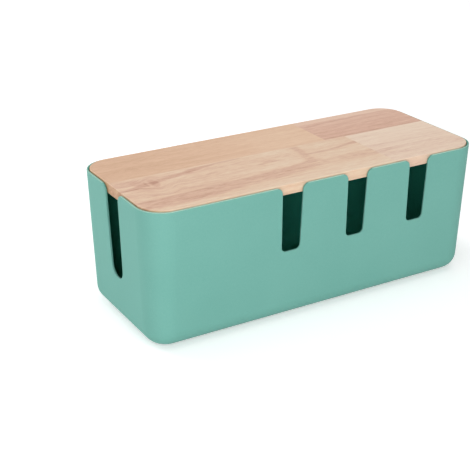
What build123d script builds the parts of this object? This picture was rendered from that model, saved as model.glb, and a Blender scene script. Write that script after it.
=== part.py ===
"""Cable management box: an open moulded tub with cord slots, a lift-off wooden lid and rubber feet.

Millimetres, +Z up. The origin is under the middle of the box, on the surface it stands on.
X runs along the length, and the wall with the row of slots faces -Y.
"""

import os
from math import hypot, radians, tan

from build123d import *

# Overall size
BOX_LENGTH = 305.0  # X, over the rim
BOX_DEPTH = 125.0  # Y, over the rim
BOX_HEIGHT = 115.0  # Z, from the underside of the feet to the top of the lid

# Moulded tub
WALL = 1.7
FLOOR = 2.2
WALL_DRAFT = 1.87  # degrees off vertical, so the tub narrows towards its base
RIM_CORNER_RADIUS = 22.0
BASE_EDGE_RADIUS = 14.0
LIP_ROUND = 0.4  # both edges of the wall's top and of the slots

# Cord slots in the front wall, open at the rim
FRONT_SLOT_COUNT = 3
FRONT_SLOT_WIDTH = 18.8  # at the height of the rim
FRONT_SLOT_SILL = 60.0  # height of the slot's lower end
FRONT_SLOT_CORNER = 4.0
FRONT_SLOT_MOUTH = 5.5  # radius where the slot opens into the rim
FRONT_SLOT_PITCH = 60.0
FRONT_SLOT_TO_END = 63.9  # from the last slot's middle to the right end of the rim

# One deeper, round-ended slot in the middle of the left wall
END_SLOT_WIDTH = 22.0
END_SLOT_SILL = 40.6
END_SLOT_CORNER = 9.3
END_SLOT_MOUTH = 6.5
SLOT_TAPER = 1.1  # degrees that each side of a slot leans in as it goes down

# Lid: a glued panel of four staves that sits inside the rim
LID_THICKNESS = 8.3
LID_PROUD = 1.0  # how far its top stands above the rim
LID_GAP = 0.6  # to the wall at the rim
LID_TOP_ROUND = 0.6
LID_UNDER_CHAMFER = 0.5
BACK_ROW_DEPTH = 51.0  # the back row of staves, from the lid's back edge
BACK_RIGHT_LENGTH = 103.4  # from the lid's right end to the end joint in the back row
FRONT_RIGHT_LENGTH = 83.7  # the same in the front row

# Ribs inside the walls that carry the lid
RIB_THICKNESS = 1.4
RIB_REACH = 4.5  # how far a rib's seat stands in from the wall
RIB_HEIGHT = 38.0
RIB_END_INSET = 33.0  # from the rim's ends to the ribs nearest the corners
RIB_EMBED = 0.8  # how deep a rib's back lies in the wall it grows from

# Feet
FOOT_DIAMETER = 14.0
FOOT_HEIGHT = 1.6
FOOT_EDGE_ROUND = 0.4
FOOT_RECESS = 0.6  # depth of the recess that each foot is stuck into
FOOT_RECESS_CLEARANCE = 0.2  # around the foot
FOOT_INSET = 32.0  # from the rim's sides to the middle of a foot, both ways

# Working allowances
OVERCUT = 2.0  # how far a cutting tool runs past what it cuts
LEAST_FLAT = 0.2  # what a large rounding leaves of the edge or corner beside it

# Worked out from the sizes above
DRAFT_SLOPE = tan(radians(WALL_DRAFT))
SLOT_SLOPE = tan(radians(SLOT_TAPER))
RIM_HEIGHT = BOX_HEIGHT - LID_PROUD
TUB_BOTTOM = FOOT_HEIGHT - FOOT_RECESS
LID_SEAT = BOX_HEIGHT - LID_THICKNESS
LID_LENGTH = BOX_LENGTH - 2 * (WALL + LID_GAP)
LID_DEPTH = BOX_DEPTH - 2 * (WALL + LID_GAP)


def drawn_in(height):
    """How far the draft has drawn a wall in at this height, measured from the rim."""
    return (RIM_HEIGHT - height) * DRAFT_SLOPE


def tub_form(inset, top, bottom, edge_radius):
    """Solid with drafted walls and a rounded base edge, its walls inset from the tub's outside."""

    def section(height):
        in_here = inset + drawn_in(height)
        outline = RectangleRounded(
            BOX_LENGTH - 2 * in_here,
            BOX_DEPTH - 2 * in_here,
            RIM_CORNER_RADIUS - in_here,
        )
        return Plane.XY.offset(height) * outline

    form = loft([section(bottom), section(top)], ruled=True)
    base = form.faces().sort_by(Axis.Z)[0]
    base_corner = RIM_CORNER_RADIUS - inset - drawn_in(bottom)
    return fillet(base.edges(), min(edge_radius, base_corner - LEAST_FLAT))


def slot_profile(width, sill, corner, mouth):
    """Outline of a slot, x across and y up: tapered sides, rounded lower corners and a flared mouth."""
    half_rim = width / 2
    half_sill = half_rim - (RIM_HEIGHT - sill) * SLOT_SLOPE
    half_top = half_rim + mouth + OVERCUT
    top = RIM_HEIGHT + mouth + OVERCUT
    corners = [
        (-half_sill, sill),
        (half_sill, sill),
        (half_rim, RIM_HEIGHT),
        (half_top, RIM_HEIGHT),
        (half_top, top),
        (-half_top, top),
        (-half_top, RIM_HEIGHT),
        (-half_rim, RIM_HEIGHT),
    ]
    outline = make_face(Polyline(*corners, close=True))
    at_sill = [v for v in outline.vertices() if v.Y < sill + 1]
    outline = fillet(at_sill, min(corner, half_sill - LEAST_FLAT))
    at_rim = [v for v in outline.vertices() if abs(v.Y - RIM_HEIGHT) < 1 and abs(v.X) < half_rim + 1]
    return fillet(at_rim, mouth)


def front_slot_places():
    """X of each front slot's middle, from the left."""
    last = BOX_LENGTH / 2 - FRONT_SLOT_TO_END
    return [last - i * FRONT_SLOT_PITCH for i in reversed(range(FRONT_SLOT_COUNT))]


def through(outline, sill):
    """A slot's outline, drawn at the rim's outer face, made solid right through the wall."""
    return extrude(outline, amount=WALL + drawn_in(sill) + OVERCUT, both=True)


def slot_cutters():
    """One solid for each slot."""
    front = slot_profile(FRONT_SLOT_WIDTH, FRONT_SLOT_SILL, FRONT_SLOT_CORNER, FRONT_SLOT_MOUTH)
    end = slot_profile(END_SLOT_WIDTH, END_SLOT_SILL, END_SLOT_CORNER, END_SLOT_MOUTH)
    left_wall = Plane(origin=(-BOX_LENGTH / 2, 0, 0), x_dir=(0, -1, 0), z_dir=(-1, 0, 0))
    cutters = [through(left_wall * end, END_SLOT_SILL)]
    for x in front_slot_places():
        front_wall = Plane(origin=(x, -BOX_DEPTH / 2, 0), x_dir=(1, 0, 0), z_dir=(0, -1, 0))
        cutters.append(through(front_wall * front, FRONT_SLOT_SILL))
    return cutters


def distance_in_from_outside(point):
    """How far a point lies inside the tub's outer wall surface, measured level."""
    in_here = drawn_in(point.Z)
    radius = RIM_CORNER_RADIUS - in_here
    across = abs(point.X) - (BOX_LENGTH / 2 - in_here - radius)
    along = abs(point.Y) - (BOX_DEPTH / 2 - in_here - radius)
    outside = hypot(max(across, 0), max(along, 0)) + min(max(across, along), 0)
    return radius - outside


def lip_edges(tub, depth_in):
    """The closed run of edges round the rim and down every slot, on one face of the wall."""
    near = 0.05
    return [
        edge
        for edge in tub.edges()
        if edge.bounding_box().min.Z > END_SLOT_SILL - near
        and abs(distance_in_from_outside(edge.position_at(0.5)) - depth_in) < near
        and abs(distance_in_from_outside(edge.position_at(0.1)) - depth_in) < near
    ]


def rib_places():
    """X of the ribs on each long wall: near the ends, between the slots and beside them."""
    end = BOX_LENGTH / 2 - RIB_END_INSET
    slots = front_slot_places()
    between = [(a + b) / 2 for a, b in zip(slots, slots[1:])]
    return [-end, (slots[0] - end) / 2, *between, end]


def rib(half_span):
    """One rib, drawn for a wall whose inner face at the rim is half_span away along +X."""

    def face_at(height):
        return half_span - drawn_in(height)

    foot = LID_SEAT - RIB_HEIGHT
    side = [
        (face_at(LID_SEAT) + RIB_EMBED, LID_SEAT),
        (face_at(LID_SEAT) - RIB_REACH, LID_SEAT),
        (face_at(foot), foot),
        (face_at(foot) + RIB_EMBED, foot),
    ]
    outline = Plane.XZ * make_face(Polyline(*side, close=True))
    return extrude(outline, amount=RIB_THICKNESS / 2, both=True)


def ribs():
    """Every rib, in place."""
    long_wall = rib(BOX_DEPTH / 2 - WALL)
    short_wall = rib(BOX_LENGTH / 2 - WALL)
    placed = []
    for x in rib_places():
        placed.append(Pos(x, 0, 0) * Rot(0, 0, 90) * long_wall)
        placed.append(Pos(x, 0, 0) * Rot(0, 0, -90) * long_wall)
    for side in (-1, 1):
        y = side * (BOX_DEPTH / 2 - RIB_END_INSET)
        placed.append(Pos(0, y, 0) * short_wall)
        placed.append(Pos(0, y, 0) * Rot(0, 0, 180) * short_wall)
    return placed


def foot_places():
    """Name and middle of each foot."""
    x = BOX_LENGTH / 2 - FOOT_INSET
    y = BOX_DEPTH / 2 - FOOT_INSET
    return {
        "foot_front_left": (-x, -y),
        "foot_front_right": (x, -y),
        "foot_back_left": (-x, y),
        "foot_back_right": (x, y),
    }


def box_shell():
    """The moulded tub, with its slots, ribs and foot recesses."""
    outside = tub_form(0, RIM_HEIGHT, TUB_BOTTOM, BASE_EDGE_RADIUS)
    inside = tub_form(WALL, RIM_HEIGHT + OVERCUT, TUB_BOTTOM + FLOOR, BASE_EDGE_RADIUS - WALL)
    tub = outside - inside
    for cutter in slot_cutters():
        tub -= cutter
    tub = fillet(lip_edges(tub, 0), LIP_ROUND)
    tub = fillet(lip_edges(tub, WALL), LIP_ROUND)
    for one in ribs():
        tub += one
    recess = Cylinder(
        FOOT_DIAMETER / 2 + FOOT_RECESS_CLEARANCE,
        FOOT_RECESS + OVERCUT,
        align=(Align.CENTER, Align.CENTER, Align.MAX),
    )
    for x, y in foot_places().values():
        tub -= Pos(x, y, TUB_BOTTOM + FOOT_RECESS) * recess
    return tub


def foot():
    """One rubber foot, standing on the origin."""
    pad = Cylinder(FOOT_DIAMETER / 2, FOOT_HEIGHT, align=(Align.CENTER, Align.CENTER, Align.MIN))
    lower_edge = pad.edges().sort_by(Axis.Z)[0]
    return fillet(lower_edge, FOOT_EDGE_ROUND)


def lid_panel():
    """The whole lid before its staves are told apart."""
    outline = RectangleRounded(LID_LENGTH, LID_DEPTH, RIM_CORNER_RADIUS - WALL - LID_GAP)
    panel = Pos(0, 0, LID_SEAT) * extrude(outline, amount=LID_THICKNESS)
    panel = fillet(panel.faces().sort_by(Axis.Z)[-1].edges(), LID_TOP_ROUND)
    return chamfer(panel.faces().sort_by(Axis.Z)[0].edges(), LID_UNDER_CHAMFER)


def lid_staves():
    """Name and solid of each stave: the panel cut at the glue joints."""
    right = LID_LENGTH / 2
    back = LID_DEPTH / 2
    seam = back - BACK_ROW_DEPTH
    rows = {
        "back": (seam, back, right - BACK_RIGHT_LENGTH),
        "front": (-back, seam, right - FRONT_RIGHT_LENGTH),
    }
    panel = lid_panel()
    staves = {}
    for row, (y_low, y_high, joint) in rows.items():
        for end, (x_low, x_high) in {"left": (-right, joint), "right": (joint, right)}.items():
            block = Pos((x_low + x_high) / 2, (y_low + y_high) / 2, LID_SEAT) * Box(
                x_high - x_low,
                y_high - y_low,
                LID_THICKNESS,
                align=(Align.CENTER, Align.CENTER, Align.MIN),
            )
            staves[f"lid_stave_{row}_{end}"] = panel & block
    return staves


def build():
    """Every node of the model by name."""
    nodes = {"box_shell": box_shell()}
    for name, (x, y) in foot_places().items():
        nodes[name] = Pos(x, y, 0) * foot()
    nodes.update(lid_staves())
    return nodes


os.makedirs("parts", exist_ok=True)
for node_name, shape in build().items():
    shape.label = node_name
    export_step(shape, f"parts/{node_name}.step")
    print(node_name, round(shape.volume, 1))
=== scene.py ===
"""The looks of a cable management box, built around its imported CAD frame.

The tub is mint plastic with a fine moulded grain and a soft sheen. The lid is a board of four
glued hardwood staves, each with its own tone and figure. Four rubber feet stand under the tub.
Lengths in shader patterns are millimetres; everything else is in metres, in the frame's axes.
"""
import math

import bpy
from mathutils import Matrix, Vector


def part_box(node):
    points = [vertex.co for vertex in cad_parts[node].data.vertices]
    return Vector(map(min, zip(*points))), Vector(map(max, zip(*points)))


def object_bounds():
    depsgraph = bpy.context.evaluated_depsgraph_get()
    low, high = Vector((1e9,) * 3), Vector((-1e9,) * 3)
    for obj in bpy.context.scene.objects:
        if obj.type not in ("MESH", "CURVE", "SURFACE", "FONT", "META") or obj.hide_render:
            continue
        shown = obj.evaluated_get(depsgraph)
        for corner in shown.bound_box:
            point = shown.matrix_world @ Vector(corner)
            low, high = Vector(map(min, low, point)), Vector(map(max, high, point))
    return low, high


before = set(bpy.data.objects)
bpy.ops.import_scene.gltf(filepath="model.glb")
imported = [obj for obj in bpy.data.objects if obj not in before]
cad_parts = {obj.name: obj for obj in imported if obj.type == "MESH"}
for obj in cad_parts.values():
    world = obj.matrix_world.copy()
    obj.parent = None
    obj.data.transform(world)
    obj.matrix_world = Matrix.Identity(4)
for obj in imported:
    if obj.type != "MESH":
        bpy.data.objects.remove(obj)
cad_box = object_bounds()

MM = 0.001

# Camera, as the reference view has it
CAMERA_PLACE = (-0.45055, -0.68960, 0.40894)
CAMERA_AZIMUTH = -30.417
CAMERA_ELEVATION = 23.998
CAMERA_LENS = 82.84
CAMERA_SENSOR = 36.0
CAMERA_CLIP_START = 0.01
CAMERA_CLIP_END = 200.0

# Light: the level 1 shows a colour as it is written
WORLD_LEVEL = 0.40
BACKGROUND_LEVEL = 1.0
LAMPS = {  # name: azimuth, elevation, distance, side, level
    "key": (3.0, 21.0, 1.30, 0.80, 0.36),
    "corner": (-48.0, 12.0, 1.30, 0.80, 0.41),
    "side": (-152.0, 20.0, 1.60, 0.90, 0.62),
    "top": (0.0, 85.0, 1.80, 1.20, 0.175),
}
LAMP_TARGET = (0.0, 0.0, 0.06)
WHITE = (1.0, 1.0, 1.0, 1.0)

# Floor
FLOOR_SIDE = 60.0
FLOOR_COLOUR = (0.92, 0.92, 0.92, 1.0)
FLOOR_GLOWS = (0.33, 0.70)  # near the box, and far off, where the lamps hardly reach
FLOOR_GLOW_RANGE = (0.7, 2.5)


def in_mm(metres):
    """A length of the frame in mm, to the tenth, as a mesh falls just short of its roundings."""
    return round(metres / MM, 1)


# The tub, in mm and degrees, to tell its inner faces from its outer ones. Its box is the frame's,
# and its wall, draft and roundings are as in the CAD
tub_low, tub_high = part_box("box_shell")
TUB_LENGTH = in_mm(tub_high[0] - tub_low[0])
TUB_DEPTH = in_mm(tub_high[1] - tub_low[1])
TUB_RIM = in_mm(tub_high[2])
TUB_BASE = in_mm(tub_low[2])
TUB_WALL = 1.7
TUB_DRAFT = 1.87
TUB_CORNER = 22.0
TUB_EDGE = 14.0
LID_TOP = in_mm(cad_box[1][2])

# Noises: how long a blob is along x, y and z, in mm, then the detail and the roughness
WANDER = ((85.0, 60.0, 60.0), 1.0, 0.5)
RIPPLE = ((22.0, 9.0, 9.0), 1.0, 0.5)
RINGS = ((140.0, 7.5, 10.0), 2.0, 0.55)
LINES = ((38.0, 2.2, 3.0), 3.0, 0.6)
FLECKS = ((8.0, 2.0, 2.4), 2.0, 0.55)
FIBRES = ((14.0, 0.42, 0.5), 2.0, 0.6)
PORES = ((7.0, 0.30, 0.34), 1.0, 0.5)
CLOUD = ((60.0, 60.0, 60.0), 2.0, 0.5)
MOTTLE = ((1.6, 1.6, 1.6), 2.0, 0.5)
MOULD_GRAIN = ((0.42, 0.42, 0.42), 2.0, 0.6)
GRIT = ((0.35, 0.35, 0.35), 2.0, 0.6)
DUST = ((4.0, 4.0, 4.0), 3.0, 0.6)
SEED_STEPS = (7.31, 3.17, 5.53)  # how far one seed is from the next, in blobs

# Where a Mix node has its share and its two colours, and where it gives the mixed colour
MIX_INPUTS = (0, 6, 7)
MIX_OUTPUT = 2


def linear(red, green, blue):
    """An 8-bit screen colour as the linear colour that the shader takes, by the sRGB curve."""
    def decoded(value):
        value /= 255.0
        return value / 12.92 if value <= 0.04045 else ((value + 0.055) / 1.055) ** 2.4
    return decoded(red), decoded(green), decoded(blue), 1.0


class Shader:
    """One material's nodes. A value may be a number, a vector, a colour or another node's output."""

    def __init__(self, name):
        self.material = bpy.data.materials.new(name)
        self.material.use_nodes = True
        self.tree = self.material.node_tree
        self.surface = self.tree.nodes["Principled BSDF"]

    def feed(self, socket, value):
        if isinstance(value, bpy.types.NodeSocket):
            self.tree.links.new(value, socket)
        else:
            socket.default_value = value

    def node(self, kind, *values, **settings):
        """A new node, with the values fed to its inputs in their order."""
        made = self.tree.nodes.new("ShaderNode" + kind)
        for name, value in settings.items():
            setattr(made, name, value)
        for socket, value in zip(made.inputs, values):
            self.feed(socket, value)
        return made

    def maths(self, operation, *values):
        return self.node("Math", *values, operation=operation).outputs[0]

    def vector(self, operation, *values):
        return self.node("VectorMath", *values, operation=operation).outputs[0]

    def add(self, *values):
        total = values[0]
        for value in values[1:]:
            total = self.maths("ADD", total, value)
        return total

    def minus(self, a, b):
        return self.maths("SUBTRACT", a, b)

    def times(self, a, b):
        return self.maths("MULTIPLY", a, b)

    def over(self, a, b):
        return self.maths("DIVIDE", a, b)

    def unsigned(self, value):
        return self.maths("ABSOLUTE", value)

    def diagonal(self, a, b):
        """The long side of the right-angled triangle whose other sides are a and b."""
        return self.maths("SQRT", self.add(self.times(a, a), self.times(b, b)))

    def weighed(self, start, *pairs):
        """start plus each value times its share. pairs are (value, share)."""
        return self.add(start, *(self.times(value, share) for value, share in pairs))

    def ranged(self, value, low, high, start=0.0, end=1.0, kind="LINEAR"):
        """value taken from low..high to start..end, and held there outside."""
        return self.node("MapRange", value, low, high, start, end, interpolation_type=kind).outputs[0]

    def rise(self, value, low, high):
        """0 below low, 1 above high, and smooth between."""
        return self.ranged(value, low, high, kind="SMOOTHSTEP")

    def fall(self, value, low, high, start=1.0):
        """start below low, 0 above high, and smooth between."""
        return self.ranged(value, low, high, start, 0.0, "SMOOTHSTEP")

    def place(self):
        """The place in the frame, in millimetres."""
        return self.vector("MULTIPLY", self.node("TexCoord").outputs["Object"], (1 / MM,) * 3)

    def split(self, vector):
        return self.node("SeparateXYZ", vector).outputs[:]

    def joined(self, x, y, z):
        return self.node("CombineXYZ", x, y, z).outputs[0]

    def noise(self, place, size, detail, rough, seed):
        """Noise round 0, mostly within 0.25."""
        scaled = self.vector("DIVIDE", place, size)
        shifted = self.vector("ADD", scaled, tuple(seed * step for step in SEED_STEPS))
        made = self.node("TexNoise", noise_dimensions="3D")
        self.feed(made.inputs["Vector"], shifted)
        made.inputs["Scale"].default_value = 1.0
        made.inputs["Detail"].default_value = detail
        made.inputs["Roughness"].default_value = rough
        return self.minus(made.outputs[0], 0.5)

    def ramp(self, value, positions, colours):
        """The colour at value between 8-bit screen colours at their positions."""
        made = self.node("ValToRGB", value)
        elements = made.color_ramp.elements
        while len(elements) < len(colours):
            elements.new(0.5)
        for element, position, colour in zip(elements, positions, colours):
            element.position = position
            element.color = linear(*colour)
        return made.outputs[0]

    def mixed(self, share, a, b, kind="MIX"):
        """Colour a with that share of colour b blended in."""
        made = self.node("Mix", data_type="RGBA", blend_type=kind)
        for index, value in zip(MIX_INPUTS, (share, a, b)):
            self.feed(made.inputs[index], value)
        return made.outputs[MIX_OUTPUT]

    def bump(self, height, depth):
        """Adds relief of that depth in mm where height goes from 0 to 1."""
        made = self.node("Bump")
        made.inputs["Strength"].default_value = 1.0
        made.inputs["Distance"].default_value = depth * MM
        self.feed(made.inputs["Height"], height)
        self.feed(self.surface.inputs["Normal"], made.outputs[0])

    def finish(self, colour, roughness, specular):
        self.feed(self.surface.inputs["Base Color"], colour)
        self.feed(self.surface.inputs["Roughness"], roughness)
        self.surface.inputs["Specular IOR Level"].default_value = specular
        return self.material


# Marks on the wood, in mm. Each function gives how strong its mark is at the place x, y
STREAK_CORE = 0.25  # the share of a streak's half width that has its full strength
STREAK_FADE = 6.0  # how far a streak, or a band, goes on past its first and last row
BAND_FADE = 5.0
BAND_TOP = (-1.6, 0.6)  # a band's crisp top edge and soft bottom one, from their lines
BAND_BOTTOM = (-3.0, 3.0)


def curves(shader, value, rows):
    """Smooth curves through rows of (value, a, b, c): returns the three at value."""
    first, last = rows[0][0], rows[-1][0]
    share = shader.ranged(value, first, last)
    made = shader.node("VectorCurve")
    shader.feed(made.inputs["Vector"], shader.joined(share, share, share))
    spans = []
    for column, curve in enumerate(made.mapping.curves, start=1):
        heights = [row[column] for row in rows]
        low = min(heights)
        reach = (max(heights) - low) or 1.0
        while len(curve.points) < len(rows):
            curve.points.new(0.5, 0.5)
        for point, row, height in zip(curve.points, rows, heights):
            point.location = ((row[0] - first) / (last - first), (height - low) / reach)
            point.handle_type = "AUTO_CLAMPED"
        spans.append((low, reach))
    made.mapping.update()
    outputs = shader.split(made.outputs[0])
    return [shader.weighed(low, (output, reach)) for output, (low, reach) in zip(outputs, spans)]


def between_ends(shader, along, rows, fade):
    """1 between the first and the last row, fading out past them."""
    starts = shader.rise(along, rows[0][0] - fade, rows[0][0])
    ends = shader.fall(along, rows[-1][0], rows[-1][0] + fade)
    return shader.times(starts, ends)


def streak(shader, along, across, rows):
    """A soft streak. rows are (along, centre, half width, strength)."""
    centre, half, strength = curves(shader, along, rows)
    off = shader.unsigned(shader.minus(across, centre))
    body = shader.fall(shader.over(off, half), STREAK_CORE, 1.0)
    return shader.times(shader.times(body, strength), between_ends(shader, along, rows, STREAK_FADE))


def streaks(shader, x, y, rows_list):
    """Several streaks together."""
    return shader.add(*(streak(shader, x, y, rows) for rows in rows_list))


def band(shader, along, across, rows):
    """A band with a crisp top edge and a soft bottom one. rows are (along, top, bottom, strength)."""
    top, bottom, strength = curves(shader, along, rows)
    under_top = shader.fall(shader.minus(across, top), *BAND_TOP)
    over_bottom = shader.rise(shader.minus(across, bottom), *BAND_BOTTOM)
    inside = shader.times(under_top, over_bottom)
    return shader.times(inside, shader.times(strength, between_ends(shader, along, rows, BAND_FADE)))


def oval_distance(shader, x, y, middle, reach):
    """The distance from the middle of an oval: 1 on its outline. reach is along x and along y."""
    off_x = shader.over(shader.minus(x, middle[0]), reach[0])
    off_y = shader.over(shader.minus(y, middle[1]), reach[1])
    return shader.diagonal(off_x, off_y)


def spot(shader, x, y, middle, reach, core, strength):
    """A soft oval spot. core is the share of its reach that has its full strength."""
    return shader.times(shader.fall(oval_distance(shader, x, y, middle, reach), core, 1.0), strength)


def spots(shader, x, y, rows):
    """Several spots together."""
    return shader.add(*(spot(shader, x, y, *row) for row in rows))


# The figure of each stave, in mm. A streak is a list of (x, y, half width, strength) rows, and a
# band a list of (x, top, bottom, strength) ones. A tone is what a mark of strength 1 adds to the
# stave's level, which is 0 at its palest colour and 1 at its deepest. A spot is (middle, reach
# along x and y, core, tone)
TAN_STREAKS = [
    [(-140, 47, 2.5, 0.2), (-124, 46, 3.0, 0.4), (-105, 46.5, 2.5, 0.2)],
    [(-80, 35.0, 1.6, 0.3), (-62, 36.0, 2.2, 0.8), (-45, 37.5, 2.2, 0.7), (-24, 38.0, 1.6, 0.3)],
    [(-84, 26.0, 1.4, 0.3), (-72, 26.0, 1.8, 0.8), (-56, 27.5, 1.4, 0.4)],
    [(-100, 24.0, 3.0, 0.3), (-88, 20.0, 3.5, 0.5), (-60, 17.0, 3.0, 0.4)],
]
TAN_STREAKS_TONE = 0.14

DARK_STREAKS = [
    [(49, 45.0, 2.0, 0.7), (56, 45.0, 2.6, 1.3), (62, 45.5, 2.2, 1.1), (74, 47.5, 1.8, 0.8),
     (92, 47.5, 1.8, 1.0), (105, 49.0, 1.5, 0.6), (140, 50.5, 1.5, 0.4)],
    [(66, 38.0, 2.2, 0.4), (80, 38.0, 2.8, 0.8), (90, 37.0, 2.2, 0.5)],
    [(48, 27.5, 1.6, 0.7), (54, 27.0, 1.6, 0.7), (58, 26.5, 1.2, 0.3)],
    [(48, 22.0, 1.4, 0.7), (60, 19.5, 1.6, 0.8), (76, 19.0, 1.4, 0.4), (98, 20.5, 2.2, 0.7),
     (115, 20.0, 3.0, 1.2), (132, 19.5, 2.4, 1.0), (142, 20.0, 1.6, 0.4)],
    [(47, 11.5, 2.0, 1.0), (66, 11.5, 2.0, 0.8), (90, 11.5, 2.0, 1.0), (110, 11.0, 1.6, 0.7),
     (140, 11.0, 1.6, 0.4)],
]
DARK_STREAKS_TONE = 0.22
DARK_PALE_EDGE = (49.0, 53.5)
DARK_PALE_EDGE_TONE = -0.46

ROSE_STREAKS = [
    [(-150, -12.0, 2.6, 0.9), (-140, -10.5, 3.6, 1.1), (-134, -8.8, 4.8, 1.1), (-128, -7.4, 5.6, 1.0),
     (-122, -5.8, 5.4, 0.6), (-115, -4.6, 4.6, 1.1), (-108, -3.5, 3.8, 1.1), (-100, -2.0, 3.4, 0.9),
     (-91, 0.8, 3.6, 1.1), (-83, 3.0, 4.2, 1.4), (-76, 4.2, 3.6, 1.2), (-68, 5.4, 3.0, 1.2),
     (-56, 6.6, 2.4, 1.2), (-46, 7.0, 2.0, 1.2), (-40, 7.2, 1.8, 1.0)],
    [(-29, -13.5, 2.4, 0.6), (-20, -11.0, 3.4, 1.1), (-12, -11.5, 2.6, 0.7)],
    [(14, -11.5, 2.2, 0.6), (22, -12.0, 2.4, 0.9), (34, -12.2, 2.0, 0.7), (42, -11.2, 2.4, 0.8),
     (50, -9.0, 2.8, 1.0), (58, -7.2, 3.2, 1.2), (65, -6.2, 3.4, 1.3)],
]
ROSE_STREAKS_TONE = 0.30
ROSE_BAND = [
    (-146, -37.0, -54.5, 0.7), (-120, -36.2, -53.5, 0.8), (-100, -34.8, -51.5, 0.9),
    (-80, -33.0, -49.0, 0.9), (-66, -32.0, -47.5, 1.0), (-40, -30.2, -45.5, 1.0),
    (-20, -28.2, -43.5, 1.0), (-5, -26.4, -41.5, 1.0), (8, -24.6, -39.0, 0.8), (16, -24.5, -37.0, 0.5),
]
ROSE_BAND_TONE = 0.31
ROSE_RIGHT_BAND = [
    (18, -26.0, -38.0, 0.5), (30, -26.5, -39.0, 0.7), (45, -27.0, -40.5, 0.9), (60, -26.5, -39.5, 1.0),
    (68, -26.5, -39.0, 1.0),
]
ROSE_RIGHT_BAND_TONE = 0.25
ROSE_CROSSING = [  # a streak that runs across the grain: (y, x, half width, strength)
    (-26, 9.0, 6.5, 0.7), (-21, 10.8, 7.0, 1.1), (-16, 11.2, 6.0, 1.1), (-10, 12.2, 5.0, 0.8),
    (-4, 13.6, 5.4, 0.9), (1, 14.2, 6.4, 1.2), (7, 13.4, 6.4, 1.0),
]
ROSE_CROSSING_TONE = 0.20
ROSE_PALE_STREAKS = [
    [(-22, 3.5, 6.0, 0.6), (-5, 3.5, 8.0, 1.0), (8, 3.0, 4.5, 0.5)],
    [(18, 2.5, 6.0, 0.8), (40, 2.5, 7.0, 1.0), (50, 3.0, 5.0, 0.5)],
]
ROSE_PALE_STREAKS_TONE = -0.16
ROSE_PALE_EDGE = (-58.0, -46.0)
ROSE_PALE_EDGE_TONE = -0.16
KNOT = (-120.3, -6.8)
KNOT_REACH = (5.0, 10.0)
ROSE_SPOTS = [
    (KNOT, KNOT_REACH, 0.35, 0.35),
    ((-126.3, -7.0), (2.4, 6.5), 0.2, 0.20),
    ((-127.0, -12.0), (15.0, 16.0), 0.3, 0.16),
    ((-140.0, 1.0), (26.0, 9.0), 0.3, 0.18),
]
# Round the knot. A distance is in ovals of its reach
KNOT_RINGS_END = (0.8, 2.2)  # where its rings begin to fade, and where they are gone
KNOT_RINGS_TURN = 11.0  # how far their wave turns over one oval, in radians
KNOT_RINGS_TONE = 0.03
KNOT_BEND_END = (0.5, 3.2)  # where the bend of the grain begins to fade, and where it is gone
KNOT_BEND = 0.55

PALE_STREAKS = [
    [(68, -20.0, 2.0, 0.8), (86, -22.0, 2.4, 1.0), (112, -22.5, 2.4, 0.9), (149, -23.0, 2.0, 0.5)],
    [(72, -33.0, 2.0, 0.4), (120, -35.0, 2.6, 0.5), (149, -38.0, 2.2, 0.4)],
    [(90, -46.0, 2.0, 0.4), (149, -49.0, 2.6, 0.5)],
    [(80, -12.0, 1.6, 0.3), (110, -11.0, 1.8, 0.5), (130, -12.0, 1.4, 0.2)],
]
PALE_STREAKS_TONE = 0.14
PALE_LOWER_HALF = (-30.0, -4.0)
PALE_LOWER_HALF_TONE = 0.22
PALE_SPOTS = [((66.0, -31.0), (32.0, 28.0), 0.2, 0.11)]


def tan_marks(shader, x, y):
    return shader.times(streaks(shader, x, y, TAN_STREAKS), TAN_STREAKS_TONE)


def dark_marks(shader, x, y):
    marks = shader.times(streaks(shader, x, y, DARK_STREAKS), DARK_STREAKS_TONE)
    return shader.weighed(marks, (shader.rise(y, *DARK_PALE_EDGE), DARK_PALE_EDGE_TONE))


def rose_marks(shader, x, y):
    distance = oval_distance(shader, x, y, KNOT, KNOT_REACH)
    waves = shader.maths("SINE", shader.times(distance, KNOT_RINGS_TURN))
    knot_rings = shader.times(waves, shader.fall(distance, *KNOT_RINGS_END))
    return shader.weighed(
        spots(shader, x, y, ROSE_SPOTS),
        (streaks(shader, x, y, ROSE_STREAKS), ROSE_STREAKS_TONE),
        (band(shader, x, y, ROSE_BAND), ROSE_BAND_TONE),
        (band(shader, x, y, ROSE_RIGHT_BAND), ROSE_RIGHT_BAND_TONE),
        (streak(shader, y, x, ROSE_CROSSING), ROSE_CROSSING_TONE),
        (streaks(shader, x, y, ROSE_PALE_STREAKS), ROSE_PALE_STREAKS_TONE),
        (shader.fall(y, *ROSE_PALE_EDGE), ROSE_PALE_EDGE_TONE),
        (knot_rings, KNOT_RINGS_TONE),
    )


def bent_round_knot(shader, x, y, across):
    """across, stretched near the knot, so that the grain's lines spread round it."""
    distance = oval_distance(shader, x, y, KNOT, KNOT_REACH)
    bend = shader.fall(distance, *KNOT_BEND_END, KNOT_BEND)
    return shader.minus(across, shader.times(shader.minus(y, KNOT[1]), bend))


def pale_marks(shader, x, y):
    return shader.weighed(
        spots(shader, x, y, PALE_SPOTS),
        (streaks(shader, x, y, PALE_STREAKS), PALE_STREAKS_TONE),
        (shader.fall(y, *PALE_LOWER_HALF), PALE_LOWER_HALF_TONE),
    )


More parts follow.
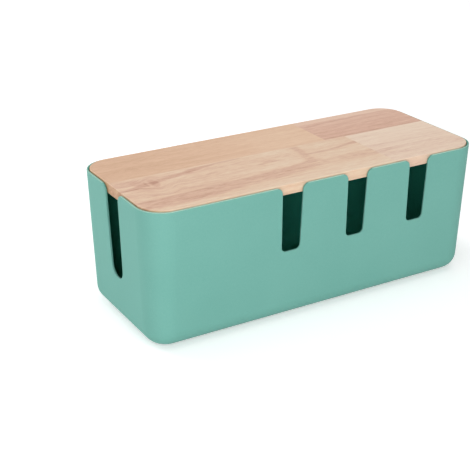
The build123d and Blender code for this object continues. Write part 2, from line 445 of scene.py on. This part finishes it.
# The wood itself. A tone, height or roughness with a noise's name is what that noise adds at 1,
# and a facing is how squarely a face looks along an axis, from 0 to 1
WANDER_REACH = 9.0  # how far the grain wanders and ripples from straight, in mm, at noise 1
RIPPLE_REACH = 1.6
MARKS_RIPPLE = 1.2  # the marks ripple this many times as far as the grain
RING_LEAN = 0.45  # how far the rings shift along y for each mm of height
WOOD_POSITIONS = (0.0, 0.4, 0.7, 1.0)  # the levels of a stave's four colours
RINGS_TONE = 0.60
LINES_TONE = 0.50
FLECKS_TONE = 0.50
FIBRES_TONE = 0.34
PORE_TONE = 0.20
PORE_RANGE = (0.13, 0.24)  # the noise from where a pore begins to where it is full
PORE_RINGS = 0.25  # how much the pores keep to the rings
END_GRAIN_TONE = 0.20
# The facing starts low, so the end grain's darker tone and tint also reach the rounded edges at the
# lid's ends: painted shade over the light those edges catch
END_GRAIN_AND_EDGE_SHADE_FACING = (0.1, 0.8)
END_GRAIN_TINT = (0.85, 0.87, 0.77, 1.0)
SAWN_EDGE_FACING = (0.3, 0.7)
SAWN_EDGE_TINT = (0.87, 0.83, 0.80, 1.0)
WOOD_RELIEF = 0.03
FIBRES_HEIGHT = 0.5
LINES_HEIGHT = 0.4
PORE_HEIGHT = -1.0
WOOD_ROUGHNESS = 0.50
FIBRES_ROUGHNESS = 0.16
PORE_ROUGHNESS = 0.12
RINGS_ROUGHNESS = 0.1
WOOD_SPECULAR = 0.2


def wood(name, colours, level, seed, marks, slopes=(), contrast=1.0, flecked=1.0, bend=None):
    """A lacquered hardwood stave with its grain along x.

    colours are four screen colours from palest to deepest, and level is the stave's mean place
    between them. marks is the function for what the stave's own marks add to the level, slopes
    are rows of (x, change of level), and bend is the function that bends the grain. contrast is
    the strength of the long grain and flecked that of the short dashes."""
    shader = Shader(name)
    place = shader.place()
    x, y, z = shader.split(place)
    lean = shader.times(shader.minus(z, LID_TOP), RING_LEAN)
    wander = shader.times(shader.noise(place, *WANDER, seed), WANDER_REACH)
    ripple = shader.times(shader.noise(place, *RIPPLE, seed + 1), RIPPLE_REACH)
    across = shader.add(y, lean, wander, ripple)
    marks_y = shader.add(y, lean, shader.times(ripple, MARKS_RIPPLE))
    if bend:
        across = bend(shader, x, marks_y, across)
    grain = shader.joined(x, across, shader.add(z, wander))
    rings = shader.noise(grain, *RINGS, seed + 2)
    lines = shader.noise(grain, *LINES, seed + 3)
    fibres = shader.noise(grain, *FIBRES, seed + 4)
    pores = shader.noise(grain, *PORES, seed + 5)
    flecks = shader.noise(grain, *FLECKS, seed + 6)
    pore = shader.ranged(shader.weighed(pores, (rings, PORE_RINGS)), *PORE_RANGE)
    normal = shader.split(shader.node("TexCoord").outputs["Normal"])
    # end grain on the end faces, and painted shade on the rounded edges next to them
    end_grain_and_edge_shade = shader.ranged(shader.unsigned(normal[0]), *END_GRAIN_AND_EDGE_SHADE_FACING)
    sawn_edge = shader.ranged(shader.unsigned(normal[2]), *SAWN_EDGE_FACING, 1.0, 0.0)
    tone = shader.weighed(
        shader.add(level, marks(shader, x, marks_y)),
        (rings, RINGS_TONE * contrast),
        (lines, LINES_TONE * contrast),
        (flecks, FLECKS_TONE * flecked),
        (fibres, FIBRES_TONE * contrast),
        (pore, PORE_TONE),
        (end_grain_and_edge_shade, END_GRAIN_TONE),
    )
    if slopes:
        slope_rows = [(at, change, 0.0, 0.0) for at, change in slopes]
        tone = shader.add(tone, curves(shader, x, slope_rows)[0])
    colour = shader.ramp(tone, WOOD_POSITIONS, colours)
    colour = shader.mixed(sawn_edge, colour, SAWN_EDGE_TINT, "MULTIPLY")
    colour = shader.mixed(end_grain_and_edge_shade, colour, END_GRAIN_TINT, "MULTIPLY")
    relief = shader.weighed(0.0, (fibres, FIBRES_HEIGHT), (pore, PORE_HEIGHT), (lines, LINES_HEIGHT))
    shader.bump(relief, WOOD_RELIEF)
    roughness = shader.weighed(
        WOOD_ROUGHNESS,
        (fibres, FIBRES_ROUGHNESS),
        (pore, PORE_ROUGHNESS),
        (rings, RINGS_ROUGHNESS),
    )
    return shader.finish(colour, roughness, WOOD_SPECULAR)


def meeting(shader, a, b, radius):
    """The depth outside two faces that meet in a rounding; a and b are the depths outside each."""
    near_a = shader.add(a, radius)
    near_b = shader.add(b, radius)
    round_a = shader.maths("MAXIMUM", near_a, 0.0)
    round_b = shader.maths("MAXIMUM", near_b, 0.0)
    flat = shader.maths("MINIMUM", shader.maths("MAXIMUM", near_a, near_b), 0.0)
    return shader.add(shader.diagonal(round_a, round_b), flat, -radius)


def outside_tub(shader, x, y, z):
    """The depth outside the tub's outer faces, in mm: 0 on them, and minus the wall on the inner
    ones."""
    taper = shader.times(shader.minus(TUB_RIM, z), math.tan(math.radians(TUB_DRAFT)))
    beyond_x = shader.add(shader.unsigned(x), -TUB_LENGTH / 2)
    beyond_y = shader.add(shader.unsigned(y), -TUB_DEPTH / 2)
    beyond_side = shader.add(meeting(shader, beyond_x, beyond_y, TUB_CORNER), taper)
    beyond_base = shader.minus(TUB_BASE, z)
    return meeting(shader, beyond_side, beyond_base, TUB_EDGE)


# The lip's painted highlight, in mm: a pale line that stands in for the light caught by its rounded
# edge. It is as wide as the wall along the front and left, narrower along the back and right, where
# the lip is in shade, and palest along the front
# The colour of the painted highlight along the lip
LIP_HIGHLIGHT_COLOUR = linear(176, 211, 192)
LIP_HEIGHT = (TUB_RIM - 0.30, TUB_RIM - 0.10)  # where it begins, and where it is full
LIP_WIDTHS = (0.9, TUB_WALL + 0.1)  # narrow and wide, from the outer face inwards
LIP_EDGE = 0.4  # the part of its width over which it fades
LIP_SHARES = (0.5, 0.95)  # how much of its colour shows elsewhere, and along the front
LIP_RIGHT_END = (128.0, 140.0)  # the x over which it narrows and gets less pale to the right
LIP_BACK_END = (38.0, 50.0)  # the y over which it narrows to the back
LIP_FRONT_END = (-60.0, -45.0)  # the y over which it gets less pale away from the front


def painted_lip_highlight(shader, x, y, z, depth):
    """The share, 0 to 1, of the painted highlight along the rim's lip."""
    short_of_right = shader.ranged(x, *LIP_RIGHT_END, 1.0, 0.0)
    front_or_left = shader.times(short_of_right, shader.ranged(y, *LIP_BACK_END, 1.0, 0.0))
    front = shader.times(short_of_right, shader.ranged(y, *LIP_FRONT_END, 1.0, 0.0))
    within = shader.add(depth, shader.ranged(front_or_left, 0.0, 1.0, *LIP_WIDTHS))
    lip = shader.times(shader.ranged(z, *LIP_HEIGHT), shader.ranged(within, 0.0, LIP_EDGE))
    return shader.times(lip, shader.ranged(front, 0.0, 1.0, *LIP_SHARES))


PLASTIC_POSITIONS = (0.0, 0.5, 1.0)
OUTER_COLOURS = ((102, 159, 148), (110, 166, 155), (118, 173, 162))
# The inner faces' deeper, more saturated green is painted shade for the dim, coloured light inside the
# tub
INNER_SHADE_COLOURS = ((50, 157, 137), (58, 166, 145), (66, 174, 152))
INNER_DEPTH = (-TUB_WALL * 0.95, -TUB_WALL * 0.75)  # over it the inner colour gives way to the outer
PLASTIC_TONE = 0.5
CLOUD_TONE = 0.6
MOTTLE_TONE = 0.3
PLASTIC_RELIEF = 0.06
MOTTLE_HEIGHT = 0.4
INNER_RELIEF_SHARE = 0.3  # the inner faces' relief, as a share of the outer ones'
PLASTIC_ROUGHNESS = 0.60
GRAIN_ROUGHNESS = 0.25
CLOUD_ROUGHNESS = 0.12
INNER_ROUGHNESS = -0.12
PLASTIC_SPECULAR = 0.11


def plastic(name):
    """Mint moulded plastic: outside a fine matte grain, inside a smoother face painted a deeper colour
    as shade for the dim light within the tub, and along the rim the lip's painted highlight."""
    shader = Shader(name)
    place = shader.place()
    x, y, z = shader.split(place)
    depth = outside_tub(shader, x, y, z)
    inside = shader.fall(depth, *INNER_DEPTH)
    cloud = shader.noise(place, *CLOUD, seed=1)
    mottle = shader.noise(place, *MOTTLE, seed=2)
    grain = shader.noise(place, *MOULD_GRAIN, seed=3)
    tone = shader.weighed(shader.add(PLASTIC_TONE, grain), (cloud, CLOUD_TONE), (mottle, MOTTLE_TONE))
    outer = shader.ramp(tone, PLASTIC_POSITIONS, OUTER_COLOURS)
    # inner: the painted shade of the inner faces
    inner = shader.ramp(tone, PLASTIC_POSITIONS, INNER_SHADE_COLOURS)
    # lip: the painted highlight along the rim's lip, where its rounded edge would catch the light
    lip = painted_lip_highlight(shader, x, y, z, depth)
    colour = shader.mixed(lip, shader.mixed(inside, outer, inner), LIP_HIGHLIGHT_COLOUR)
    relief = shader.weighed(grain, (mottle, MOTTLE_HEIGHT))
    relief_share = shader.ranged(inside, 0.0, 1.0, 1.0, INNER_RELIEF_SHARE)
    shader.bump(shader.times(relief, relief_share), PLASTIC_RELIEF)
    roughness = shader.weighed(
        PLASTIC_ROUGHNESS,
        (grain, GRAIN_ROUGHNESS),
        (cloud, CLOUD_ROUGHNESS),
        (inside, INNER_ROUGHNESS),
    )
    return shader.finish(colour, roughness, PLASTIC_SPECULAR)


RUBBER_POSITIONS = (0.0, 1.0)
RUBBER_COLOURS = ((36, 37, 38), (74, 75, 76))
RUBBER_TONE = 0.4
DUST_TONE = 1.2
GRIT_TONE = 0.5
RUBBER_RELIEF = 0.05
RUBBER_ROUGHNESS = 0.78
GRIT_ROUGHNESS = 0.3
RUBBER_SPECULAR = 0.35


def rubber(name):
    """Dark grey rubber, matte, with a fine grit."""
    shader = Shader(name)
    place = shader.place()
    grit = shader.noise(place, *GRIT, seed=5)
    dust = shader.noise(place, *DUST, seed=6)
    tone = shader.weighed(RUBBER_TONE, (dust, DUST_TONE), (grit, GRIT_TONE))
    colour = shader.ramp(tone, RUBBER_POSITIONS, RUBBER_COLOURS)
    shader.bump(grit, RUBBER_RELIEF)
    roughness = shader.weighed(RUBBER_ROUGHNESS, (grit, GRIT_ROUGHNESS))
    return shader.finish(colour, roughness, RUBBER_SPECULAR)


TAN = ((232, 200, 171), (221, 183, 153), (208, 168, 138), (184, 142, 113))
DARK = ((229, 196, 174), (217, 176, 154), (205, 162, 140), (180, 136, 114))
ROSE = ((233, 210, 185), (225, 193, 166), (212, 172, 149), (188, 143, 121))
PALE = ((238, 216, 194), (231, 205, 183), (221, 189, 168), (200, 162, 140))
TAN_SLOPES = [(-150, 0.10), (-110, 0.08), (-60, -0.03), (-17, -0.10), (0, -0.19), (48, -0.19)]
ROSE_SLOPES = [(-150, 0.08), (-90, 0.06), (-50, -0.02), (0, -0.05), (68, -0.09)]

materials = {
    "lid_stave_back_left": wood(
        "wood_tan", TAN, level=0.42, seed=3, marks=tan_marks, slopes=TAN_SLOPES, contrast=0.7,
    ),
    "lid_stave_back_right": wood(
        "wood_dark", DARK, level=0.38, seed=11, marks=dark_marks, flecked=1.3,
    ),
    "lid_stave_front_left": wood(
        "wood_rose", ROSE, level=0.36, seed=23, marks=rose_marks, slopes=ROSE_SLOPES,
        contrast=1.1, flecked=1.4, bend=bent_round_knot,
    ),
    "lid_stave_front_right": wood(
        "wood_pale", PALE, level=0.22, seed=37, marks=pale_marks, contrast=1.1, flecked=1.4,
    ),
    "box_shell": plastic("tub_plastic"),
}
foot_material = rubber("foot_rubber")
for node in sorted(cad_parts):
    if node.startswith("foot_"):
        materials[node] = foot_material
for node, material in materials.items():
    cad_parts[node].material_slots[0].material = material


def towards(azimuth, elevation):
    """The direction to a point round the box, in degrees from its front and up from its level."""
    turn, rise = math.radians(azimuth), math.radians(elevation)
    return Vector((math.sin(turn) * math.cos(rise), -math.cos(turn) * math.cos(rise), math.sin(rise)))


def seen_directly(tree):
    """1 for what the camera sees, by itself or in gloss or glass, and 0 for what lights the scene."""
    path = tree.nodes.new("ShaderNodeLightPath")
    total = path.outputs["Is Camera Ray"]
    for name in ("Is Glossy Ray", "Is Transmission Ray"):
        either = tree.nodes.new("ShaderNodeMath")
        either.operation = "MAXIMUM"
        tree.links.new(total, either.inputs[0])
        tree.links.new(path.outputs[name], either.inputs[1])
        total = either.outputs[0]
    return total


def make_world():
    world = bpy.data.worlds.new("studio")
    world.use_nodes = True
    bpy.context.scene.world = world
    tree = world.node_tree
    level = tree.nodes.new("ShaderNodeMapRange")
    level.inputs["To Min"].default_value = WORLD_LEVEL
    level.inputs["To Max"].default_value = BACKGROUND_LEVEL
    tree.links.new(seen_directly(tree), level.inputs["Value"])
    background = tree.nodes["Background"]
    background.inputs["Color"].default_value = WHITE
    tree.links.new(level.outputs[0], background.inputs["Strength"])


def make_floor():
    """A pale floor that also glows a little for the camera, more so far from the lamps."""
    bpy.ops.mesh.primitive_plane_add(size=FLOOR_SIDE)
    floor = bpy.context.object
    floor.name = "floor"
    shader = Shader("floor")
    tree = shader.tree
    place = shader.node("TexCoord").outputs["Object"]
    distance = shader.node("VectorMath", place, operation="LENGTH").outputs["Value"]
    level = shader.times(seen_directly(tree), shader.ranged(distance, *FLOOR_GLOW_RANGE, *FLOOR_GLOWS))
    diffuse = shader.node("BsdfDiffuse", FLOOR_COLOUR)
    glow = shader.node("Emission", WHITE, level)
    both = shader.node("AddShader", diffuse.outputs[0], glow.outputs[0])
    tree.links.new(both.outputs[0], tree.nodes["Material Output"].inputs["Surface"])
    tree.nodes.remove(shader.surface)
    floor.data.materials.append(shader.material)


def make_softbox(name, azimuth, elevation, distance, side, level):
    """A square lamp aimed at the box. level is the share of a plain level that it gives a surface
    facing it. The camera doesn't see the lamp itself."""
    data = bpy.data.lights.new(name, "AREA")
    data.shape = "SQUARE"
    data.size = side
    data.energy = level * (math.pi * distance) ** 2
    lamp = bpy.data.objects.new(name, data)
    lamp.visible_camera = False
    bpy.context.collection.objects.link(lamp)
    aim = towards(azimuth, elevation)
    lamp.location = Vector(LAMP_TARGET) + aim * distance
    lamp.rotation_mode = "QUATERNION"
    lamp.rotation_quaternion = aim.to_track_quat("Z", "Y")


def make_camera():
    data = bpy.data.cameras.new("camera")
    data.sensor_width = CAMERA_SENSOR
    data.lens = CAMERA_LENS
    data.clip_start = CAMERA_CLIP_START
    data.clip_end = CAMERA_CLIP_END
    camera = bpy.data.objects.new("camera", data)
    bpy.context.collection.objects.link(camera)
    back = towards(CAMERA_AZIMUTH, CAMERA_ELEVATION)
    camera.location = CAMERA_PLACE
    camera.rotation_mode = "QUATERNION"
    camera.rotation_quaternion = (-back).to_track_quat("-Z", "Y")
    bpy.context.scene.camera = camera


make_world()
make_floor()
for lamp_name, settings in LAMPS.items():
    make_softbox(lamp_name, *settings)
make_camera()

bpy.context.scene.view_settings.view_transform = "Standard"
